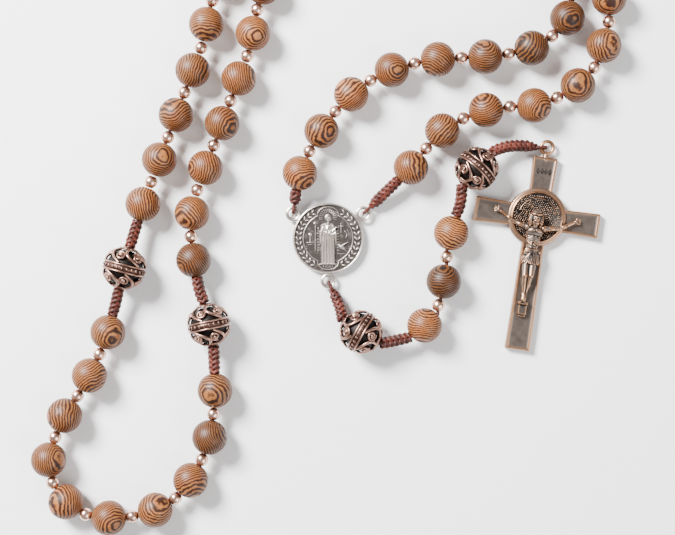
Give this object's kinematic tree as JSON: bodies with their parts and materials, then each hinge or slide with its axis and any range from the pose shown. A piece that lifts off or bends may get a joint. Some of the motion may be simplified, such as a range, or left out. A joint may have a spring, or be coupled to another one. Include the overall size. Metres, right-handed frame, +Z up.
{
  "type": "rosary",
  "caption": "Rosary of striped wooden beads and openwork metal beads on a knotted cord, with a round medal and a crucifix, laid flat.",
  "frame": {"origin": "centre of the medal's flat back, on the surface that the rosary lies on", "axes": "+Z up, out of the medal's face; +Y from the pendant towards the top of the loop; +X towards the crucifix"},
  "size_m": [0.1369, 0.1505, 0.01],
  "materials": {
    "striped_wood": "satin, fine dark stripes",
    "copper": "polished",
    "openwork_copper": "antique, darkened in the hollows",
    "medal_bronze": "antique, bright on the relief",
    "crucifix_copper": "antique, bright on the edges",
    "plaited_cord": "waxed plait"
  },
  "bodies": {
    "rosary_loop": {"medal": "medal_bronze", "cord_inner": "plaited_cord", "cord_outer": "plaited_cord", "decade_1_beads_01_02": "striped_wood", "decade_1_beads_03_04": "striped_wood", "decade_1_beads_05_06": "striped_wood", "decade_1_beads_07_08": "striped_wood", "decade_1_beads_09_10": "striped_wood", "decade_2_beads_01_02": "striped_wood", "decade_2_beads_03_04": "striped_wood", "decade_2_bead_05": "striped_wood", "decade_4_beads_05_06": "striped_wood", "decade_4_beads_07_08": "striped_wood", "decade_4_beads_09_10": "striped_wood", "decade_5_beads_01_02": "striped_wood", "decade_5_beads_03_04": "striped_wood", "decade_5_beads_05_06": "striped_wood", "decade_5_beads_07_08": "striped_wood", "decade_5_beads_09_10": "striped_wood"},
    "outer_link": {"cord_outer_link": "plaited_cord", "decade_4_beads_02_03": "striped_wood", "decade_4_bead_04": "striped_wood"},
    "inner_link": {"cord_inner_link": "plaited_cord", "decade_2_beads_06_07": "striped_wood", "decade_2_bead_08": "striped_wood"},
    "loop_end": {"cord_loop_end": "plaited_cord", "decade_2_beads_09_10": "striped_wood", "decade_3_beads_01_02": "striped_wood", "decade_3_beads_03_04": "striped_wood", "decade_3_beads_05_06": "striped_wood", "decade_3_beads_07_08": "striped_wood", "decade_3_beads_09_10": "striped_wood", "decade_4_bead_01": "striped_wood"},
    "pendant_upper": {"cord_pendant_upper": "plaited_cord"},
    "pendant_middle": {"cord_pendant_middle": "plaited_cord", "pendant_spacer_1": "copper", "pendant_spacer_2": "copper"},
    "pendant_lower": {"cord_pendant_lower": "plaited_cord"},
    "crucifix_knot_loop": {"crucifix_cord_loop": "plaited_cord"},
    "crucifix": {"crucifix": "crucifix_copper", "crucifix_figure": "crucifix_copper"},
    "large_bead_1": {"our_father_bead_1": "openwork_copper"},
    "large_bead_2": {"our_father_bead_2": "openwork_copper"},
    "large_bead_3": {"our_father_bead_3": "openwork_copper"},
    "large_bead_4": {"our_father_bead_4": "openwork_copper"},
    "large_bead_5": {"our_father_bead_5": "openwork_copper"},
    "large_bead_6": {"our_father_bead_6": "openwork_copper"},
    "pendant_bead_1": {"pendant_bead_1": "striped_wood"},
    "pendant_bead_2": {"pendant_bead_2": "striped_wood"},
    "pendant_bead_3": {"pendant_bead_3": "striped_wood"}
  },
  "joints": [
    {"name": "outer_link_sway", "type": "hinge", "parent": "rosary_loop", "child": "outer_link", "pos_m": [-0.0292, 0.0437, 0.004], "axis": [0, 0, 1], "range_deg": [-18, 18]},
    {"name": "inner_link_sway", "type": "hinge", "parent": "rosary_loop", "child": "inner_link", "pos_m": [-0.0186, 0.0418, 0.004], "axis": [0, 0, 1], "range_deg": [-18, 18]},
    {"name": "loop_end_sway", "type": "hinge", "parent": "outer_link", "child": "loop_end", "pos_m": [-0.0407, 0.0129, 0.004], "axis": [0, 0, 1], "range_deg": [-18, 18]},
    {"name": "pendant_swing", "type": "hinge", "parent": "rosary_loop", "child": "pendant_upper", "pos_m": [0, -0.0099, 0.0015], "axis": [0, 0, 1], "range_deg": [-35, 1]},
    {"name": "pendant_bend", "type": "hinge", "parent": "pendant_upper", "child": "pendant_middle", "pos_m": [0.01565, -0.02348, 0.0045], "axis": [0, 0, 1], "range_deg": [-25, 1]},
    {"name": "pendant_lower_bend", "type": "hinge", "parent": "pendant_middle", "child": "pendant_lower", "pos_m": [0.03045, 0.00827, 0.0045], "axis": [0, 0, 1], "range_deg": [-18, 1]},
    {"name": "crucifix_lift", "type": "hinge", "parent": "pendant_lower", "child": "crucifix_knot_loop", "pos_m": [0.0508, 0.021, 0.0015], "axis": [-0.989, 0.1478, 0], "range_deg": [0, 90]},
    {"name": "crucifix_swing", "type": "hinge", "parent": "crucifix_knot_loop", "child": "crucifix", "pos_m": [0.0508, 0.021, 0.0015], "axis": [0, 0, 1], "range_deg": [0, 50]},
    {"name": "large_bead_1_spin", "type": "hinge", "parent": "rosary_loop", "child": "large_bead_1", "pos_m": [0.03011, 0.06693, 0.005], "axis": [-0.9997, -0.0238, 0], "continuous": true},
    {"name": "large_bead_2_spin", "type": "hinge", "parent": "loop_end", "child": "large_bead_2", "pos_m": [-0.02728, -0.01988, 0.005], "axis": [0.2067, -0.9784, 0], "continuous": true},
    {"name": "large_bead_3_spin", "type": "hinge", "parent": "loop_end", "child": "large_bead_3", "pos_m": [-0.04666, -0.0069, 0.005], "axis": [0.2539, 0.9672, 0], "continuous": true},
    {"name": "large_bead_4_spin", "type": "hinge", "parent": "rosary_loop", "child": "large_bead_4", "pos_m": [0.02715, 0.0774, 0.005], "axis": [1, -0.0072, 0], "continuous": true},
    {"name": "large_bead_5_spin", "type": "hinge", "parent": "pendant_upper", "child": "large_bead_5", "pos_m": [0.00758, -0.02155, 0.005], "axis": [0.8611, -0.4998, 0.0932], "continuous": true},
    {"name": "large_bead_6_spin", "type": "hinge", "parent": "pendant_lower", "child": "large_bead_6", "pos_m": [0.03407, 0.01589, 0.005], "axis": [0.6758, 0.7328, -0.079], "continuous": true},
    {"name": "pendant_bead_1_spin", "type": "hinge", "parent": "pendant_middle", "child": "pendant_bead_1", "pos_m": [0.02217, -0.02009, 0.004], "axis": [0.7688, 0.6383, -0.0398], "continuous": true},
    {"name": "pendant_bead_2_spin", "type": "hinge", "parent": "pendant_middle", "child": "pendant_bead_2", "pos_m": [0.02659, -0.00998, 0.004], "axis": [0.1689, 0.9856, 0], "continuous": true},
    {"name": "pendant_bead_3_spin", "type": "hinge", "parent": "pendant_middle", "child": "pendant_bead_3", "pos_m": [0.02832, 0.00116, 0.004], "axis": [0.2481, 0.968, 0.0383], "continuous": true}
  ],
  "couplings": [
    {"joint": "inner_link_sway", "follows": "outer_link_sway", "ratio": 1},
    {"joint": "loop_end_sway", "follows": "outer_link_sway", "ratio": -1}
  ]
}
